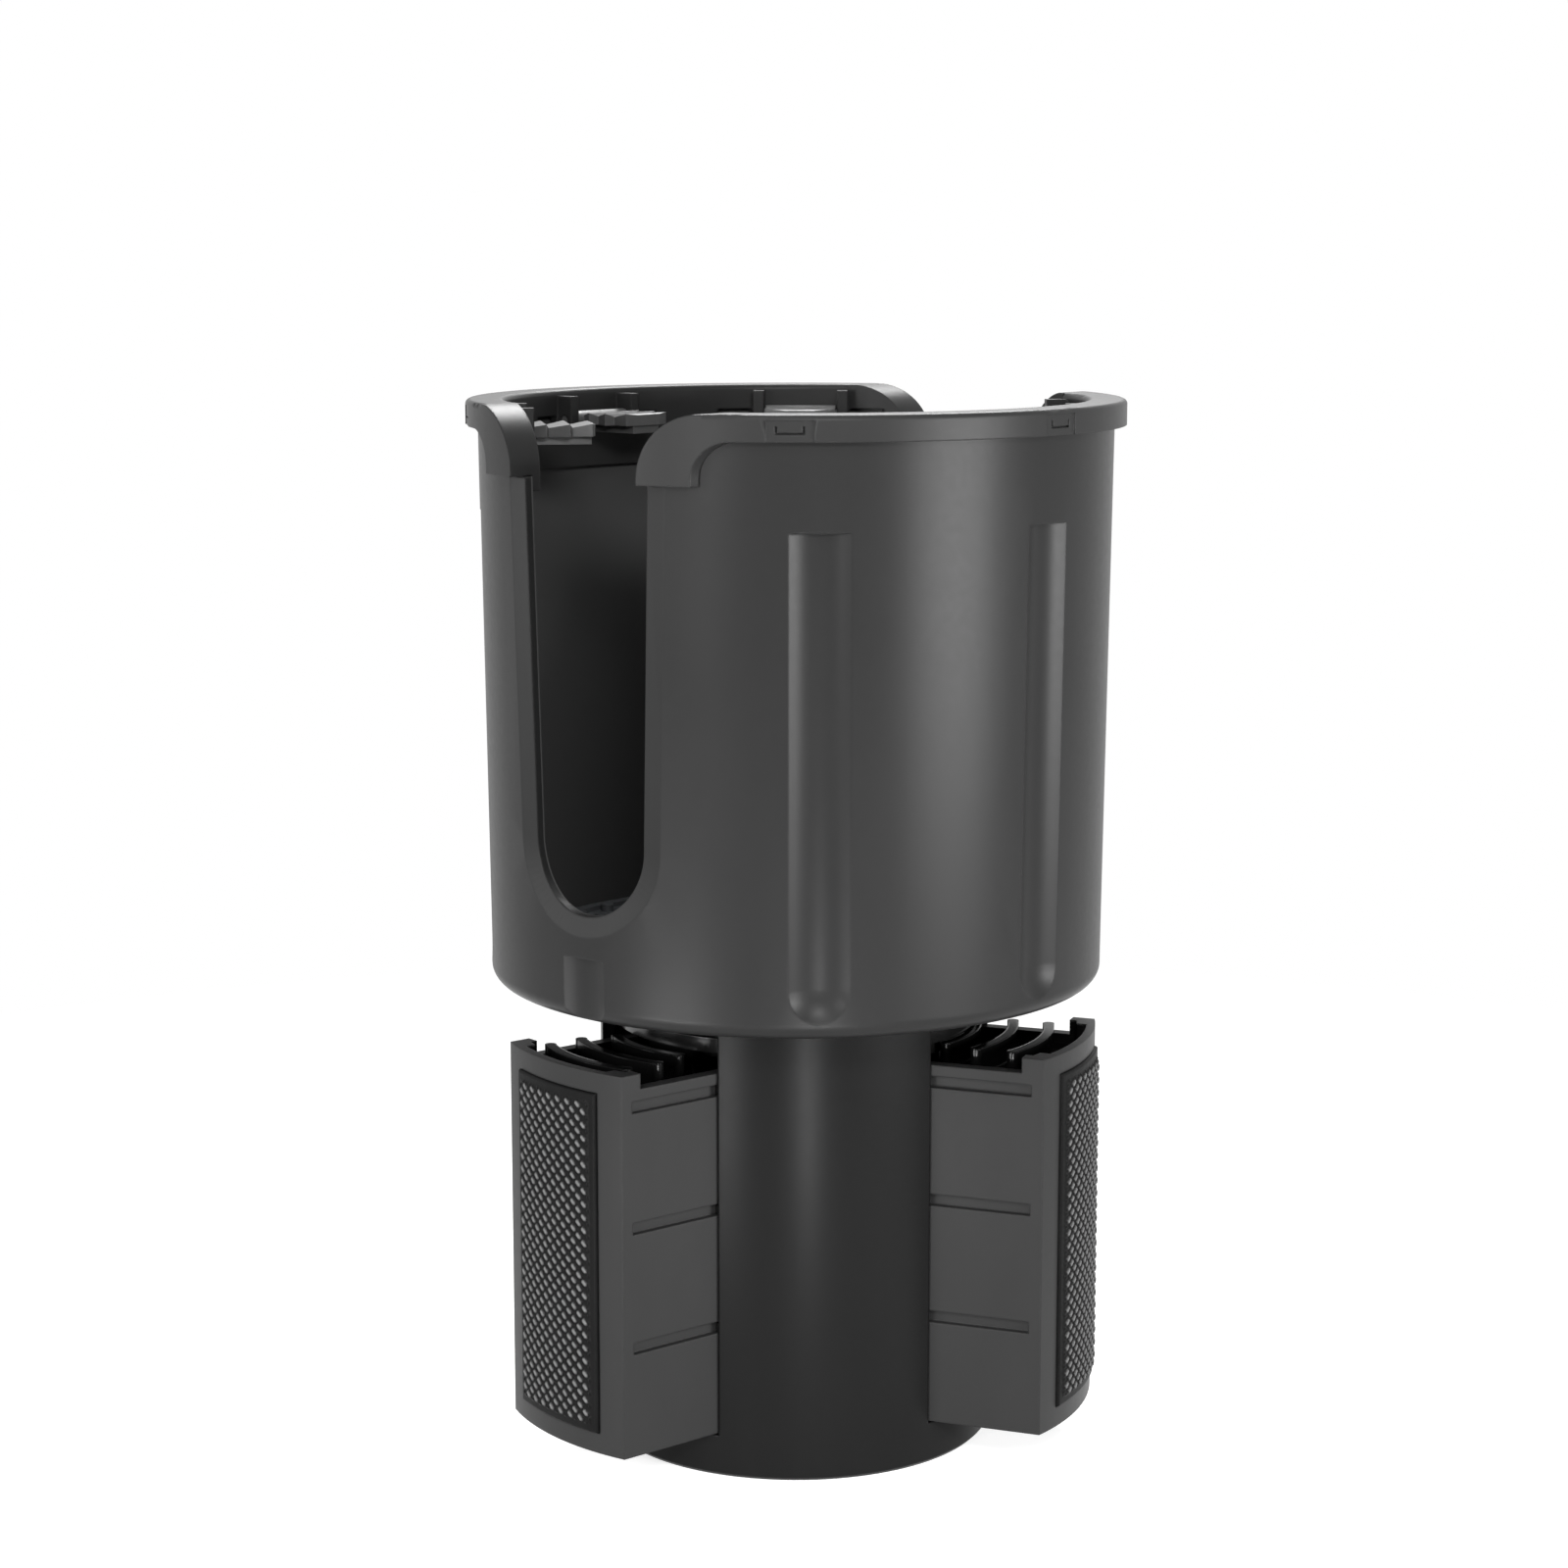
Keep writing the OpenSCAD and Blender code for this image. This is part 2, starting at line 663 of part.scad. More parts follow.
// Radius of the round cutter that leaves a hollow of some width and depth in the cup's wall
function hollow_r(width, depth) =
    let (half = width / 2, deep = depth - cup_low_r + sqrt(pow(cup_low_r, 2) - pow(half, 2)))
    (pow(half, 2) + pow(deep, 2)) / (2 * deep);

// Cutter for a flute, whose round lower end is a part of a sphere
module flute_cut() {
    radius = hollow_r(flute_w, flute_depth);
    low = cup_z + flute_low + flute_w / 2;
    top = wall_top - flute_drop;
    translate([0, wall_radius(low) - flute_depth + radius, low]) {
        sphere(r = radius);
        rotate([-wall_lean, 0, 0]) cylinder(h = top - low, r = radius);
    }
}

// Cutter for the notch under a slot, which is open below
module notch_cut() {
    radius = hollow_r(notch_w, notch_depth);
    low = cup_z - 1;
    translate([0, wall_radius(low) - notch_depth + radius, low])
        rotate([-wall_lean, 0, 0]) cylinder(h = notch_h + 1, r = radius);
}

module cup() {
    color("#3c3e40") difference() {
        rotate_extrude($fn = 192) cup_section();
        for (d = slot_dirs) toward(d) {
            outward(cut_in, cut_out) slot_outline(0);
            slot_bevel();
            translate([-slot_top_half - skirt_t - seat, cut_in, rim_top - leg_h - seat])
                cube([2 * (slot_top_half + skirt_t + seat), cut_out - cut_in, leg_h + 1]);
            for (side = [0, 1]) mirror([side, 0, 0]) outward(cut_in, cut_out) corner_outline(skirt_t + seat);
            notch_cut();
        }
        for (s = flute_steps) toward(slot_dir + s) flute_cut();
        for (d = pillar_dirs) toward(d) translate([0, scroll_screw_at, floor_z])
            mirror([0, 0, 1]) screw_hole(cup_floor);
    }
}

module cup_mat() {
    step = (mat_r - mat_edge_w - 1.4 * stud_r) / len(mat_rings);
    color("#45494c") translate([0, 0, floor_z]) union() {
        cylinder(h = mat_t, r = mat_r);
        difference() {
            cylinder(h = mat_t + mat_edge_h, r = mat_r);
            translate([0, 0, mat_t - join]) cylinder(h = mat_edge_h + 2 * join, r = mat_r - mat_edge_w);
        }
        translate([0, 0, mat_t - join]) linear_extrude(stud_h + join) {
            circle(r = stud_r, $fn = 16);
            for (k = [0:len(mat_rings) - 1], i = [0:mat_rings[k] - 1])
                rotate(90 + 360 * i / mat_rings[k]) translate([(k + 1) * step, 0]) circle(r = stud_r, $fn = 16);
        }
    }
}

// The rim's section: a rounded channel over the cup's wall, with a long skirt inside
module rim_section() {
    soft = 0.8;
    translate([skirt_in + soft, wall_top]) square([rim_r - skirt_in - 2 * soft, rim_t]);
    translate([skirt_in, wall_top]) square([rim_r - skirt_in, rim_t - soft]);
    for (r = [skirt_in + soft, rim_r - soft]) translate([r, rim_top - soft]) circle(r = soft, $fn = 32);
    translate([skirt_in, rim_top - skirt_h]) square([skirt_t, skirt_h - rim_t + join]);
}

// Elevation of the space under the band, from one leg round to the next
module under_band_outline() {
    out = slot_top_half + leg_w;
    low = rim_top - leg_h - 1;
    band_low = rim_top - band_h;
    translate([out + leg_fillet, band_low - leg_fillet]) circle(r = leg_fillet);
    translate([out, low]) square([rim_r, band_low - leg_fillet - low]);
    translate([out + leg_fillet, low]) square([rim_r, band_low - low]);
}

module band_and_legs() {
    difference() {
        translate([0, 0, rim_top - leg_h]) rim_tube(band_in, rim_r, leg_h - rim_t + join);
        for (d = slot_dirs, side = [0, 1]) toward(d) mirror([side, 0, 0])
            outward(-join, cut_out) under_band_outline();
    }
}

// Elevation of the edge that closes the rim's channel beside a slot
module edge_outline() {
    low = rim_top - leg_h;
    corner_z = rim_top - leg_corner;
    translate([slot_top_half, low]) square([skirt_t, corner_z - low + join]);
    translate([slot_top_half + leg_corner, corner_z]) intersection() {
        difference() {
            circle(r = leg_corner);
            circle(r = leg_corner - skirt_t);
        }
        translate([-leg_corner, 0]) square(leg_corner);
    }
}

// Elevation of what the large corner beside a slot takes away, set back by some amount
module corner_outline(set_back) {
    difference() {
        translate([0, rim_top - leg_corner]) square([slot_top_half + leg_corner, leg_corner + 1]);
        translate([slot_top_half + leg_corner, rim_top - leg_corner]) circle(r = leg_corner - set_back);
    }
}

module rim_ring() {
    difference() {
        union() {
            rotate_extrude($fn = 192) rim_section();
            band_and_legs();
            for (d = slot_dirs, side = [0, 1]) toward(d) mirror([side, 0, 0]) intersection() {
                outward(cut_in, cut_out) edge_outline();
                translate([0, 0, rim_top - leg_h]) rim_tube(skirt_in, rim_r, leg_h - join);
            }
            for (d = tab_dirs) toward(d) tab_lugs();
        }
        for (d = slot_dirs) toward(d) {
            translate([-slot_top_half, cut_in, rim_top - skirt_h - 1])
                cube([2 * slot_top_half, cut_out - cut_in, skirt_h + 2]);
            for (side = [0, 1]) mirror([side, 0, 0]) outward(cut_in, cut_out) corner_outline(0);
        }
        for (d = tab_dirs) toward(d) {
            translate([-tab_w / 2 - lug_t - gap - 1, tab_pivot, tab_z]) rotate([0, 90, 0])
                cylinder(h = tab_w + 2 * (lug_t + gap + 1), r = tab_pin_r + fit, $fn = 24);
            skirt_windows();
            clip_panel();
        }
    }
}

// Openings in the skirt on both sides of a tab, with round ends
module skirt_windows() {
    window_w = 6;
    window_h = 1.6;
    near = tab_w / 2 + gap + lug_t + 1;
    for (side = [0, 1]) mirror([side, 0, 0]) outward(tab_pivot, skirt_out + gap / 2) union() {
        translate([near, tab_z - window_h / 2]) square([window_w, window_h]);
        for (x = [near, near + window_w]) translate([x, tab_z]) circle(r = window_h * 0.52, $fn = 24);
    }
}

module rim_tube(inner, outer, height) {
    difference() {
        cylinder(h = height, r = outer, $fn = 192);
        translate([0, 0, -1]) cylinder(h = height + 2, r = inner, $fn = 192);
    }
}

// Two lugs that reach inward from the skirt and hold a tab's pins
module tab_lugs() {
    low = tab_z - barrel_r - 0.7;
    for (side = [-1, 1])
        translate([side > 0 ? tab_w / 2 + gap : -tab_w / 2 - gap - lug_t, tab_pivot - barrel_r - 0.2, low])
            cube([lug_t, skirt_in - tab_pivot + barrel_r + 0.8, rim_top - 1 - low]);
}

// A shallow panel across the band, with a narrow groove bent round three sides
module clip_panel() {
    panel_deep = 0.2;
    groove_deep = 0.7;
    groove_t = 0.3;
    groove_w = clip_w * 0.62;
    low = rim_top - band_h * 0.72;
    difference() {
        translate([-clip_w / 2, band_in, rim_top - band_h - 1]) cube([clip_w, 2 * band_t, band_h + 0.2]);
        cylinder(h = rim_top + 1, r = rim_r - panel_deep, $fn = 192);
    }
    difference() {
        translate([-groove_w / 2, band_in, low]) cube([groove_w, 2 * band_t, 1.2]);
        translate([groove_t - groove_w / 2, band_in, low + groove_t])
            cube([groove_w - 2 * groove_t, 2 * band_t, 2]);
        cylinder(h = rim_top + 1, r = rim_r - groove_deep, $fn = 192);
    }
}

module rim_half(side) {
    big = 2 * rim_r;
    color("#4a4c4e") intersection() {
        rim_ring();
        toward(slot_dir) translate([side > 0 ? 0 : -big, -big, 0]) cube([big, 2 * big, 2 * rim_top]);
    }
}

module rim_cap_front() { rim_half(1); }
module rim_cap_back() { rim_half(-1); }

// Plan of a tab: a spine with barbs along both edges, from the pivot inward
module tab_plan() {
    pitch = (tab_l - tab_root) / tab_barbs;
    half = tab_w / 2;
    narrow = half * 0.72;
    right = concat(
        [[half, 0], [half, -tab_root]],
        [for (i = [0:tab_barbs - 1]) each [
            [narrow, -tab_root - i * pitch],
            [half * (i == tab_barbs - 1 ? 0.8 : 1), -tab_root - (i + 0.85) * pitch]
        ]],
        [[narrow * 0.6, -tab_l]]
    );
    count = len(right);
    polygon(concat(right, [for (i = [count - 1:-1:0]) [-right[i][0], right[i][1]]]));
}

// Side view of a tab, whose top rises towards the tip of each barb
module tab_side() {
    pitch = (tab_l - tab_root) / tab_barbs;
    top = tab_t / 2;
    polygon(concat(
        [[-tab_l - 1, -top], [0, -top], [0, top]],
        [for (i = [0:tab_barbs - 1]) each [
            [-tab_root - i * pitch, top],
            [-tab_root - (i + 0.85) * pitch, top + tab_ridge]
        ]],
        [[-tab_l - 1, top]]
    ));
}

module gripper_tab(k) {
    color("#5c6062") toward(tab_dirs[k]) translate([0, tab_pivot, tab_z]) {
        intersection() {
            translate([0, 0, -tab_t / 2]) linear_extrude(tab_t + tab_ridge) tab_plan();
            translate([-tab_w, 0, 0]) rotate([90, 0, 90]) linear_extrude(2 * tab_w) tab_side();
        }
        translate([-tab_w / 4, tab_rib_end - tab_l, -tab_t / 2 - tab_rib])
            cube([tab_w / 2, tab_l - tab_rib_end - tab_rib_from, tab_rib + tab_t / 2]);
        translate([-tab_w / 2, 0, 0]) rotate([0, 90, 0]) cylinder(h = tab_w, r = barrel_r, $fn = 32);
        translate([-tab_w / 2 - gap - lug_t + 0.2, 0, 0]) rotate([0, 90, 0])
            cylinder(h = tab_w + 2 * (gap + lug_t - 0.2), r = tab_pin_r, $fn = 24);
    }
}

module gripper_tab_1() { gripper_tab(0); }
module gripper_tab_2() { gripper_tab(1); }
module gripper_tab_3() { gripper_tab(2); }
module gripper_tab_4() { gripper_tab(3); }
module gripper_tab_5() { gripper_tab(4); }
module gripper_tab_6() { gripper_tab(5); }

base_housing();
base_cover();
base_screws();
pivot_bolt();
pivot_washer();
shoe_1();
shoe_2();
shoe_3();
shoe_pad_1();
shoe_pad_2();
shoe_pad_3();
scroll_plate();
scroll_screws();
cup();
cup_mat();
rim_cap_front();
rim_cap_back();
gripper_tab_1();
gripper_tab_2();
gripper_tab_3();
gripper_tab_4();
gripper_tab_5();
gripper_tab_6();
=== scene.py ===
"""Looks of the expanding car cup holder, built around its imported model.

Metres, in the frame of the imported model: the cup's axis is Z and the base stands on z = 0.
"""

import math

import bmesh
import bpy
from mathutils import Matrix, Vector


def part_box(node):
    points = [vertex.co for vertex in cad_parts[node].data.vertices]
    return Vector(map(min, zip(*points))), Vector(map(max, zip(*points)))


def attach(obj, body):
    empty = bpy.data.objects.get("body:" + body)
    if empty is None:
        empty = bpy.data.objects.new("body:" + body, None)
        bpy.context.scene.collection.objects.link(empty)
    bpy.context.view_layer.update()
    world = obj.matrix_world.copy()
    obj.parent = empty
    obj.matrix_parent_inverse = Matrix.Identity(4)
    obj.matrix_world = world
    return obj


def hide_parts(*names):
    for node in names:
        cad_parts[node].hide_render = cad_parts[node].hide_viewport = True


MM = 0.001

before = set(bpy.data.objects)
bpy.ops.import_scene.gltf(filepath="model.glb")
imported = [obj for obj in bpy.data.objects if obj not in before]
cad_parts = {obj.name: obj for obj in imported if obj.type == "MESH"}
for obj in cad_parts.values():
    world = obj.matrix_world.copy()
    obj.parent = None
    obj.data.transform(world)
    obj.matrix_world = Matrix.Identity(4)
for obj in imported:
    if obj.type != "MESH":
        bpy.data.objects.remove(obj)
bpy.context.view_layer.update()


# Shoes: which way they slide, and the cylinder that their outer face is part of

SHOE_DIRS = {"shoe_1": 90, "shoe_2": 210, "shoe_3": 330}
SHOE_REACH = 49.1 * MM
FACE_R = 45 * MM
FACE_CENTRE = SHOE_REACH - FACE_R

# The polished part of a shoe, between its walls and from the deck to just below the top

POLISH_HALF = 12.6 * MM
POLISH_WALL = 1.3 * MM
POLISH_FROM = 63.85 * MM
POLISH_TO = 67.95 * MM

# The inner face of the cup's leaning wall, where a lighter colour is painted light, and how far into the
# wall that painted light reaches

CUP_IN_LOW = 47.1 * MM
CUP_IN_TOP = 48.2 * MM
CUP_FLOOR = 2.5 * MM
CUP_SKIN = 0.3 * MM

# Pads: a curved rubber plate with slanted oval bumps on each shoe, and which way the bumps lean

PAD_LEANS = {1: -1, 2: -1, 3: 1}
PAD_W = 20.2 * MM
PAD_EDGE = 1.2 * MM
PAD_BACK = -1.2 * MM
PAD_BORDER = 0.5 * MM
PAD_FIELD = 0.62 * MM
PAD_RISE = 0.3 * MM
PAD_ROUND = 0.25 * MM
BUMP_ACROSS = 1.14 * MM
BUMP_UP = 2.1 * MM
BUMP_TILT = math.radians(47)
BUMP_HALF = 0.25 * MM
BUMP_R = 0.42 * MM
BUMP_H = 0.36 * MM
CELLS_ACROSS = 8
CELLS_UP = 12.8
# Painted highlight on the bumps: where it starts and where it is full, as shares of a bump's height
PAINTED_HIGHLIGHT_FROM = 0.52
PAINTED_HIGHLIGHT_FULL = 0.92
SHARP_ANGLE = math.radians(60)

# Camera of the photo: its place, tilt and lens were fitted to the rim, cup and base ellipses

CAMERA_TURN = -9.4
CAMERA_TILT = 9.4
CAMERA_DISTANCE = 534.7 * MM
CAMERA_HEIGHT = 194.97 * MM
CAMERA_SIDE = -1.94 * MM
CAMERA_LENS = 76.67
SENSOR_WIDTH = 36

# Floor and world: their shades for the light, and where the seen floor fades to white

FLOOR_HALF = 6.0
FLOOR_SHADE = 0.25
SHADOW_SHADE = 0.6
SHADOW_LEVEL = 0.7
SHADOW_NEAR = 0.12
SHADOW_FAR = 0.35
AMBIENT = 0.06


# Materials: how far their shade and roughness vary, and how large their patches and grain are

NOISE_LOW = 0.3
NOISE_HIGH = 0.7
BEVEL_SAMPLES = 6
MOULD_MOTTLE = 0.07
MOULD_PATCH = 14 * MM
MOULD_FLOW = (1, 1, 0.4)
MOULD_SHEEN = 0.015
MOULD_SHEEN_PATCH = 1.2 * MM
MOULD_GRAIN = 0.35 * MM
RUBBER_MOTTLE = 0.12
RUBBER_PATCH = 5 * MM
RUBBER_SHEEN = 0.06
RUBBER_SHEEN_PATCH = 0.8 * MM
RUBBER_GRAIN = 0.25 * MM


def grey(value, blue=0.0):
    """A linear grey, with a little blue where the real piece has it."""
    return (value, value * (1 + blue / 2), value * (1 + blue), 1)


class Finish:
    """A node material with one Principled shader, built a layer at a time."""

    def __init__(self, name, specular):
        self.material = bpy.data.materials.new(name)
        self.material.use_nodes = True
        self.tree = self.material.node_tree
        self.shader = self.tree.nodes["Principled BSDF"]
        self.shader.inputs["Specular IOR Level"].default_value = specular
        self.place = self.add("ShaderNodeTexCoord").outputs["Object"]
        self.normal = None

    def add(self, kind, **inputs):
        """A node with these values in its inputs, whose names have _ for a space."""
        node = self.tree.nodes.new(kind)
        for name, value in inputs.items():
            node.inputs[name.replace("_", " ")].default_value = value
        return node

    def join(self, output, socket):
        self.tree.links.new(output, socket)

    def feed(self, value, socket):
        """Gives a socket another node's output or a constant."""
        if isinstance(value, bpy.types.NodeSocket):
            self.join(value, socket)
        else:
            socket.default_value = value

    def maths(self, operation, first, second=0.0):
        """Two values put together by one operation."""
        node = self.tree.nodes.new("ShaderNodeMath")
        node.operation = operation
        self.feed(first, node.inputs[0])
        self.feed(second, node.inputs[1])
        return node.outputs["Value"]

    def blend(self, factor, first, second):
        """A colour between two."""
        node = self.tree.nodes.new("ShaderNodeMix")
        node.data_type = "RGBA"
        self.feed(first, node.inputs["A"])
        self.feed(second, node.inputs["B"])
        self.join(factor, node.inputs["Factor"])
        return node.outputs["Result"]

    def parts(self, vector):
        """The x, y and z of a place."""
        node = self.add("ShaderNodeSeparateXYZ")
        self.join(vector, node.inputs["Vector"])
        return [node.outputs[name] for name in "XYZ"]

    def distance(self, x, y):
        """How far a place lies from an upright axis."""
        squares = [self.maths("MULTIPLY", part, part) for part in (x, y)]
        return self.maths("SQRT", self.maths("ADD", *squares))

    def all_of(self, first, *others):
        """1 where all these masks are 1."""
        mask = first
        for other in others:
            mask = self.maths("MULTIPLY", mask, other)
        return mask

    def noise(self, size, detail=2.0, stretch=(1, 1, 1)):
        """Noise whose features are about this many metres across."""
        place = self.add("ShaderNodeMapping", Scale=stretch)
        self.join(self.place, place.inputs["Vector"])
        noise = self.add("ShaderNodeTexNoise", Scale=1 / size, Detail=detail)
        self.join(place.outputs["Vector"], noise.inputs["Vector"])
        return noise.outputs["Fac"]

    def spread(self, factor, low, high):
        """Spreads a noise, which stays near the middle, over the range from low to high."""
        ramp = self.add("ShaderNodeMapRange", From_Min=NOISE_LOW, From_Max=NOISE_HIGH,
                        To_Min=low, To_Max=high)
        self.join(factor, ramp.inputs["Value"])
        return ramp.outputs["Result"]

    def colour(self, dark, light, size, stretch=(1, 1, 1)):
        """Mottled colour between two close shades."""
        factor = self.spread(self.noise(size, 4.0, stretch), 0, 1)
        self.join(self.blend(factor, dark, light), self.shader.inputs["Base Color"])

    def roughness(self, low, high, size):
        self.join(self.spread(self.noise(size, 3.0), low, high), self.shader.inputs["Roughness"])

    def recolour(self, mask, colour, rough):
        """Gives the places where the mask is 1 another colour and roughness."""
        base = self.shader.inputs["Base Color"]
        self.join(self.blend(mask, base.links[0].from_socket, colour), base)
        roughness = self.shader.inputs["Roughness"]
        change = self.add("ShaderNodeMapRange", To_Max=rough)
        self.join(mask, change.inputs["Value"])
        self.join(roughness.links[0].from_socket, change.inputs["To Min"])
        self.join(change.outputs["Result"], roughness)

    def soft_edges(self, radius):
        bevel = self.add("ShaderNodeBevel", Radius=radius)
        bevel.samples = BEVEL_SAMPLES
        self.set_normal(bevel.outputs["Normal"])

    def grain(self, size, depth, detail=2.0):
        """A moulded grain: bumps of this size and depth, over whatever normal is there already."""
        bump = self.add("ShaderNodeBump", Strength=1.0, Distance=depth)
        self.join(self.noise(size, detail), bump.inputs["Height"])
        if self.normal:
            self.join(self.normal, bump.inputs["Normal"])
        self.set_normal(bump.outputs["Normal"])

    def set_normal(self, output):
        self.normal = output
        self.join(output, self.shader.inputs["Normal"])


def moulded(name, shade, roughness, grain, edge, specular):
    """Black or dark grey moulded plastic with a fine spark-eroded grain."""
    finish = Finish(name, specular)
    dark, light = (grey(shade * share) for share in (1 - MOULD_MOTTLE, 1 + MOULD_MOTTLE))
    finish.colour(dark, light, MOULD_PATCH, MOULD_FLOW)
    finish.roughness(roughness - MOULD_SHEEN, roughness + MOULD_SHEEN, MOULD_SHEEN_PATCH)
    finish.soft_edges(edge)
    finish.grain(MOULD_GRAIN, grain, detail=3.0)
    return finish


def cup_plastic():
    """Grained plastic of the cup, matt on its inner face, where a lighter colour is also painted light.
    """
    finish = moulded("cup_grey", shade=0.0135, roughness=0.36, grain=0.005 * MM, edge=0.5 * MM,
                     specular=0.12)
    x, y, z = finish.parts(finish.place)
    low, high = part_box("cup")
    lean = (CUP_IN_TOP - CUP_IN_LOW) / (high.z - low.z)
    wall_at_zero = CUP_IN_LOW + CUP_SKIN - low.z * lean
    wall = finish.maths("ADD", finish.maths("MULTIPLY", z, lean), wall_at_zero)
    painted_light_mask = finish.all_of(
        finish.maths("LESS_THAN", finish.distance(x, y), wall),
        finish.maths("GREATER_THAN", z, low.z + CUP_FLOOR),
    )
    # Painted light: the cup's inner face is coloured lighter; its higher roughness is real
    finish.recolour(painted_light_mask, grey(0.055), rough=0.5)
    return finish.material


def rim_plastic():
    return moulded("rim_grey", shade=0.018, roughness=0.38, grain=0.006 * MM, edge=0.4 * MM,
                   specular=0.12).material


def base_plastic():
    return moulded("base_black", shade=0.007, roughness=0.32, grain=0.004 * MM, edge=0.4 * MM,
                   specular=0.06).material


def shoe_plastic(shoe):
    """Grained plastic of a shoe, polished black on the deck and the teeth between its walls."""
    finish = moulded(shoe + "_grey", shade=0.02025, roughness=0.40, grain=0.008 * MM, edge=0.4 * MM,
                     specular=0.09)
    turn = finish.add("ShaderNodeMapping", Rotation=(0, 0, math.radians(90 - SHOE_DIRS[shoe])))
    finish.join(finish.place, turn.inputs["Vector"])
    across, out, up = finish.parts(turn.outputs["Vector"])
    from_face_axis = finish.distance(across, finish.maths("SUBTRACT", out, FACE_CENTRE))
    polished = finish.all_of(
        finish.maths("LESS_THAN", finish.maths("ABSOLUTE", across), POLISH_HALF),
        finish.maths("LESS_THAN", from_face_axis, FACE_R - POLISH_WALL),
        finish.maths("GREATER_THAN", up, POLISH_FROM),
        finish.maths("LESS_THAN", up, POLISH_TO),
    )
    finish.recolour(polished, grey(0.003), rough=0.12)
    return finish.material


def polished_plastic():
    """Glossy black plastic of the scroll plate."""
    finish = Finish("gloss_black", specular=0.5)
    finish.colour(grey(0.004), grey(0.006), 9 * MM)
    finish.roughness(0.14, 0.22, 3 * MM)
    finish.soft_edges(0.3 * MM)
    finish.grain(2.5 * MM, 0.006 * MM)
    return finish.material


def pad_rubber():
    """Black rubber of the pads, whose bumps are polished and have a painted highlight in a lighter
    colour.
    """
    finish = Finish("pad_rubber", specular=0.05)
    finish.colour(grey(0.0035), grey(0.005), RUBBER_PATCH)
    finish.roughness(0.42, 0.52, RUBBER_SHEEN_PATCH)
    bump = finish.add("ShaderNodeAttribute")
    bump.attribute_name = "bump"
    # Painted highlight: the bumps' high parts are lighter in colour; their lower roughness is real
    finish.recolour(bump.outputs["Fac"], grey(0.12), rough=0.25)
    finish.grain(RUBBER_GRAIN, 0.004 * MM)
    return finish.material


def soft_rubber(name, shade, roughness, blue=0.0):
    """Matt grey rubber of the mat and the tabs."""
    finish = Finish(name, specular=0.4)
    dark, light = (grey(shade * share, blue) for share in (1 - RUBBER_MOTTLE, 1 + RUBBER_MOTTLE))
    finish.colour(dark, light, RUBBER_PATCH)
    finish.roughness(roughness - RUBBER_SHEEN, roughness + RUBBER_SHEEN, RUBBER_SHEEN_PATCH)
    finish.soft_edges(0.2 * MM)
    finish.grain(RUBBER_GRAIN, 0.008 * MM)
    return finish.material


def steel():
    """Zinc-plated steel of the screws, bolt and washer."""
    finish = Finish("zinc_steel", specular=0.5)
    finish.shader.inputs["Metallic"].default_value = 1.0
    finish.colour(grey(0.42), grey(0.55), 2 * MM)
    finish.roughness(0.28, 0.42, 0.6 * MM)
    finish.soft_edges(0.15 * MM)
    finish.grain(0.2 * MM, 0.003 * MM)
    return finish.material


def dress(material, *nodes):
    """Gives CAD nodes a material in place of their plain one."""
    for name in nodes:
        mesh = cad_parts[name].data
        mesh.materials.clear()
        mesh.materials.append(material)


# Pads


def bump_height(across, up, lean):
    """Height of the oval bumps at a place on the pad, which stand in slanted rows."""
    column = round(across / BUMP_ACROSS)
    best = 0.0
    for c in (column - 1, column, column + 1):
        shift = (c % 2) * BUMP_UP / 2
        row = round((up - shift) / BUMP_UP)
        for r in (row - 1, row, row + 1):
            x = across - c * BUMP_ACROSS
            z = up - shift - r * BUMP_UP
            along = -lean * x * math.sin(BUMP_TILT) + z * math.cos(BUMP_TILT)
            side = lean * x * math.cos(BUMP_TILT) + z * math.sin(BUMP_TILT)
            away = math.hypot(max(0.0, abs(along) - BUMP_HALF), side) / BUMP_R
            if away < 1:
                best = max(best, BUMP_H * math.sqrt(1 - away * away))
    return best


def pad_face(across, up, height, lean):
    """How far the pad stands out of the shoe's face at a place on it."""
    edge = min(PAD_W / 2 - abs(across), up, height - up)
    border = PAD_BORDER - PAD_ROUND * max(0.0, 1 - edge / PAD_ROUND) ** 2
    if edge < PAD_EDGE:
        return border
    rise = min(1.0, (edge - PAD_EDGE) / PAD_RISE)
    field = border + (PAD_FIELD - PAD_BORDER) * rise
    return field + bump_height(across, up - height / 2, lean) * rise


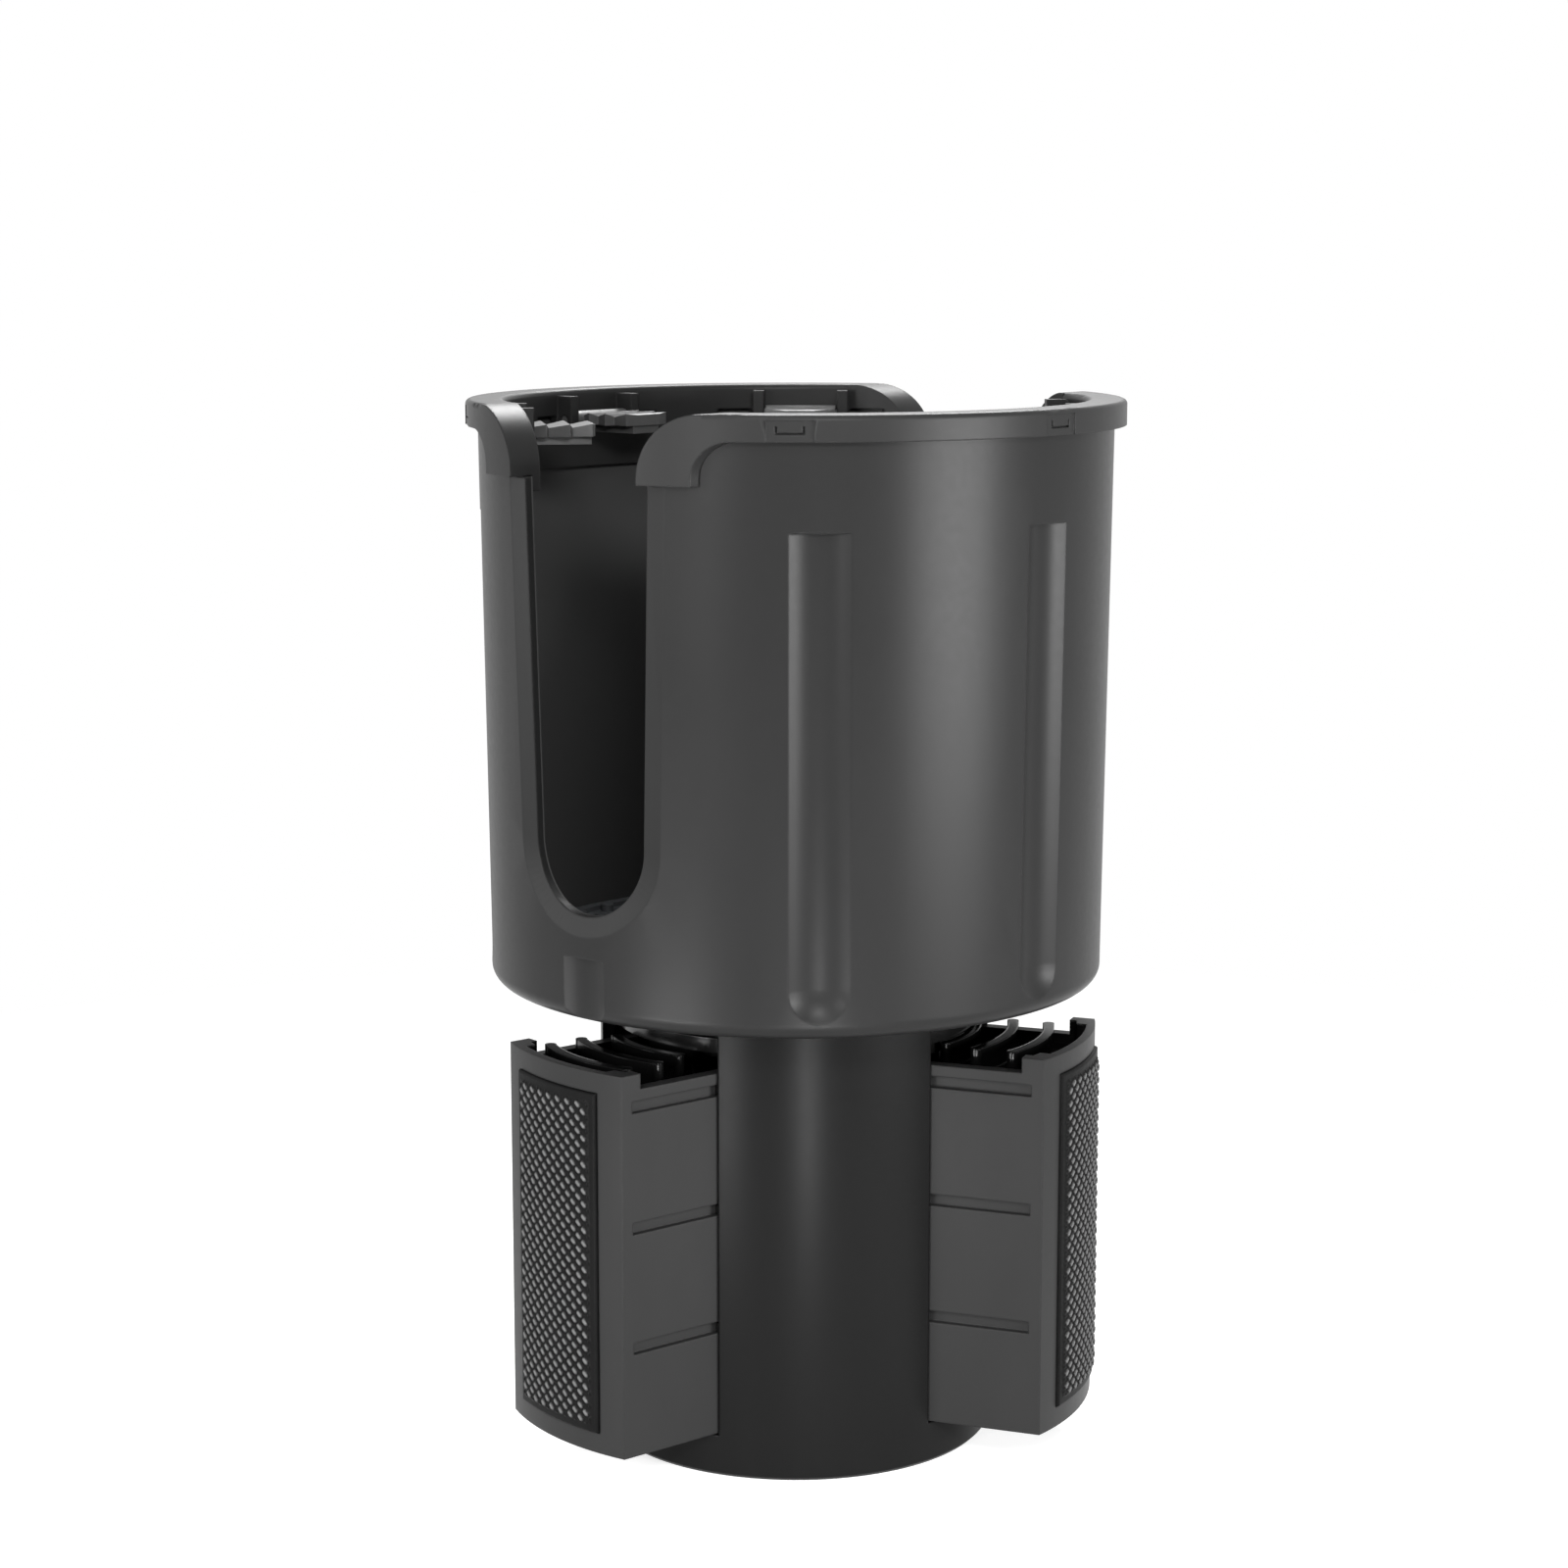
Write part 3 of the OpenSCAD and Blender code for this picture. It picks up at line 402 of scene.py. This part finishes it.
def make_pad(number, lean, rubber):
    """Pad of one shoe, in the place of its plain CAD solid."""
    shoe = f"shoe_{number}"
    node = f"shoe_pad_{number}"
    low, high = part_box(node)
    height = high.z - low.z
    turn = Matrix.Rotation(math.radians(SHOE_DIRS[shoe] - 90), 4, "Z")
    columns = round(PAD_W / BUMP_ACROSS * CELLS_ACROSS)
    rows = round(height / BUMP_UP * CELLS_UP)
    mesh = bmesh.new()
    # The bump layer holds the painted highlight on the bumps' high parts
    painted_bump_highlight = mesh.verts.layers.float.new("bump")

    def point(across, up, out):
        """A vertex of the pad, with a painted highlight where a bump stands high."""
        angle = across / FACE_R
        radius = FACE_R + out
        place = Vector((radius * math.sin(angle), FACE_CENTRE + radius * math.cos(angle), low.z + up))
        vertex = mesh.verts.new(turn @ place)
        share = (out - PAD_FIELD) / BUMP_H
        vertex[painted_bump_highlight] = min(1.0, max(0.0, (share - PAINTED_HIGHLIGHT_FROM) / (PAINTED_HIGHLIGHT_FULL - PAINTED_HIGHLIGHT_FROM)))
        return vertex

    steps_across = [PAD_W * (i / columns - 0.5) for i in range(columns + 1)]
    steps_up = [height * j / rows for j in range(rows + 1)]
    grid = [[point(x, z, pad_face(x, z, height, lean)) for z in steps_up] for x in steps_across]
    back = [[point(x, z, PAD_BACK) for z in (0, height)] for x in steps_across]
    for i in range(columns):
        for j in range(rows):
            mesh.faces.new((grid[i][j], grid[i][j + 1], grid[i + 1][j + 1], grid[i + 1][j]))
        mesh.faces.new((grid[i][0], grid[i + 1][0], back[i + 1][0], back[i][0]))
        mesh.faces.new((grid[i][-1], back[i][1], back[i + 1][1], grid[i + 1][-1]))
        mesh.faces.new((back[i][0], back[i + 1][0], back[i + 1][1], back[i][1]))
    mesh.faces.new([back[0][0], back[0][1]] + grid[0][::-1])
    mesh.faces.new([back[-1][1], back[-1][0]] + grid[-1])
    bmesh.ops.recalc_face_normals(mesh, faces=mesh.faces)
    data = bpy.data.meshes.new(f"textured_pad_{number}")
    mesh.to_mesh(data)
    mesh.free()
    data.shade_smooth()
    data.set_sharp_from_angle(angle=SHARP_ANGLE)
    data.materials.append(rubber)
    pad = bpy.data.objects.new(f"textured_pad_{number}", data)
    bpy.context.scene.collection.objects.link(pad)
    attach(pad, shoe)
    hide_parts(node)


# Studio: floor, world, lamps and camera


def white_rays(tree):
    """1 for the rays that show the white background: from the camera, mirrored or through glass."""
    path = tree.nodes.new("ShaderNodeLightPath")
    total = path.outputs["Is Camera Ray"]
    for name in ("Is Glossy Ray", "Is Transmission Ray"):
        either = tree.nodes.new("ShaderNodeMath")
        either.operation = "MAXIMUM"
        tree.links.new(total, either.inputs[0])
        tree.links.new(path.outputs[name], either.inputs[1])
        total = either.outputs["Value"]
    return total


def pale_floor():
    """Material that lights the object as a pale floor does, and is seen white with a shadow on it."""
    material = bpy.data.materials.new("pale_floor")
    material.use_nodes = True
    tree = material.node_tree
    tree.nodes.clear()
    output = tree.nodes.new("ShaderNodeOutputMaterial")
    plain = tree.nodes.new("ShaderNodeBsdfDiffuse")
    plain.inputs["Color"].default_value = grey(FLOOR_SHADE)
    shaded = tree.nodes.new("ShaderNodeBsdfDiffuse")
    shaded.inputs["Color"].default_value = grey(SHADOW_SHADE)
    glow = tree.nodes.new("ShaderNodeEmission")
    glow.inputs["Strength"].default_value = SHADOW_LEVEL
    near = tree.nodes.new("ShaderNodeAddShader")
    tree.links.new(shaded.outputs["BSDF"], near.inputs[0])
    tree.links.new(glow.outputs["Emission"], near.inputs[1])
    place = tree.nodes.new("ShaderNodeTexCoord")
    reach = tree.nodes.new("ShaderNodeVectorMath")
    reach.operation = "LENGTH"
    fade = tree.nodes.new("ShaderNodeMapRange")
    fade.inputs["From Min"].default_value = SHADOW_NEAR
    fade.inputs["From Max"].default_value = SHADOW_FAR
    tree.links.new(place.outputs["Object"], reach.inputs[0])
    tree.links.new(reach.outputs["Value"], fade.inputs["Value"])
    white = tree.nodes.new("ShaderNodeEmission")
    seen = tree.nodes.new("ShaderNodeMixShader")
    tree.links.new(fade.outputs["Result"], seen.inputs["Fac"])
    tree.links.new(near.outputs["Shader"], seen.inputs[1])
    tree.links.new(white.outputs["Emission"], seen.inputs[2])
    switch = tree.nodes.new("ShaderNodeMixShader")
    tree.links.new(white_rays(tree), switch.inputs["Fac"])
    tree.links.new(plain.outputs["BSDF"], switch.inputs[1])
    tree.links.new(seen.outputs["Shader"], switch.inputs[2])
    tree.links.new(switch.outputs["Shader"], output.inputs["Surface"])
    return material


def make_floor():
    """Floor of the studio, no part of the object."""
    corners = [(x * FLOOR_HALF, y * FLOOR_HALF, 0) for x, y in ((-1, -1), (1, -1), (1, 1), (-1, 1))]
    mesh = bpy.data.meshes.new("floor")
    mesh.from_pydata(corners, [], [(0, 1, 2, 3)])
    mesh.materials.append(pale_floor())
    floor = bpy.data.objects.new("floor", mesh)
    bpy.context.scene.collection.objects.link(floor)


def make_world():
    """World that lights the object a little, and is seen white."""
    world = bpy.data.worlds.new("studio")
    world.use_nodes = True
    tree = world.node_tree
    tree.nodes.clear()
    output = tree.nodes.new("ShaderNodeOutputWorld")
    switch = tree.nodes.new("ShaderNodeMixShader")
    tree.links.new(white_rays(tree), switch.inputs["Fac"])
    for socket, strength in ((switch.inputs[1], AMBIENT), (switch.inputs[2], 1.0)):
        light = tree.nodes.new("ShaderNodeBackground")
        light.inputs["Color"].default_value = grey(1)
        light.inputs["Strength"].default_value = strength
        tree.links.new(light.outputs["Background"], socket)
    tree.links.new(switch.outputs["Shader"], output.inputs["Surface"])
    bpy.context.scene.world = world


def make_lamp(name, turn, rise, distance, aim, width, height, power):
    """A soft box at a turn from the camera, a height and a distance, aimed at a height on the axis."""
    lamp = bpy.data.lights.new(name, "AREA")
    lamp.shape = "RECTANGLE"
    lamp.size = width
    lamp.size_y = height
    lamp.energy = power
    around = math.radians(CAMERA_TURN + turn)
    box = bpy.data.objects.new(name, lamp)
    box.location = (math.sin(around) * distance, -math.cos(around) * distance, rise)
    away = box.location - Vector((0, 0, aim))
    box.rotation_euler = away.to_track_quat("Z", "Y").to_euler()
    box.visible_camera = False
    bpy.context.scene.collection.objects.link(box)


def make_camera():
    """Camera that sees what the photo shows."""
    lens = bpy.data.cameras.new("camera")
    lens.sensor_width = SENSOR_WIDTH
    lens.lens = CAMERA_LENS
    camera = bpy.data.objects.new("camera", lens)
    turn = Matrix.Rotation(math.radians(CAMERA_TURN), 4, "Z")
    place = Matrix.Translation((CAMERA_SIDE, -CAMERA_DISTANCE, CAMERA_HEIGHT))
    tilt = Matrix.Rotation(math.radians(90 - CAMERA_TILT), 4, "X")
    camera.matrix_world = turn @ place @ tilt
    bpy.context.scene.collection.objects.link(camera)
    bpy.context.scene.camera = camera


dress(cup_plastic(), "cup")
dress(rim_plastic(), "rim_cap_front", "rim_cap_back")
dress(base_plastic(), "base_housing", "base_cover")
for shoe in SHOE_DIRS:
    dress(shoe_plastic(shoe), shoe)
dress(polished_plastic(), "scroll_plate")
dress(soft_rubber("mat_rubber", shade=0.068, roughness=0.55, blue=0.12), "cup_mat")
dress(soft_rubber("tab_rubber", shade=0.06, roughness=0.5), *[f"gripper_tab_{k}" for k in range(1, 7)])
dress(steel(), "base_screws", "scroll_screws", "pivot_bolt", "pivot_washer")

pad_material = pad_rubber()
for number, lean in PAD_LEANS.items():
    make_pad(number, lean, pad_material)

bpy.context.scene.view_settings.view_transform = "Standard"
make_camera()
make_world()
make_floor()
make_lamp("key", turn=55, rise=0.11, distance=0.50, aim=0.12, width=0.24, height=0.15, power=3.3)
make_lamp("high", turn=-20, rise=0.52, distance=0.48, aim=0.15, width=0.20, height=0.20, power=0.9)
make_lamp("inner", turn=8, rise=0.32, distance=0.50, aim=0.15, width=0.14, height=0.06, power=1.5)
make_lamp("front", turn=6, rise=0.014, distance=0.22, aim=0.04, width=0.03, height=0.02, power=0.18)
make_lamp("front_left", turn=-30, rise=0.17, distance=0.50, aim=0.14, width=0.08, height=0.12, power=0.6)
make_lamp("left_low", turn=-41, rise=0.014, distance=0.22, aim=0.04, width=0.08, height=0.02, power=0.22)
make_lamp("left", turn=-58, rise=0.21, distance=0.50, aim=0.14, width=0.05, height=0.14, power=1.1)
make_lamp("far_left", turn=-86, rise=0.14, distance=0.50, aim=0.13, width=0.11, height=0.16, power=0.3)
make_lamp("top", turn=10, rise=0.80, distance=0.05, aim=0.10, width=0.40, height=0.40, power=1.2)
make_lamp("back", turn=172, rise=0.58, distance=0.50, aim=0.10, width=0.34, height=0.20, power=4.5)
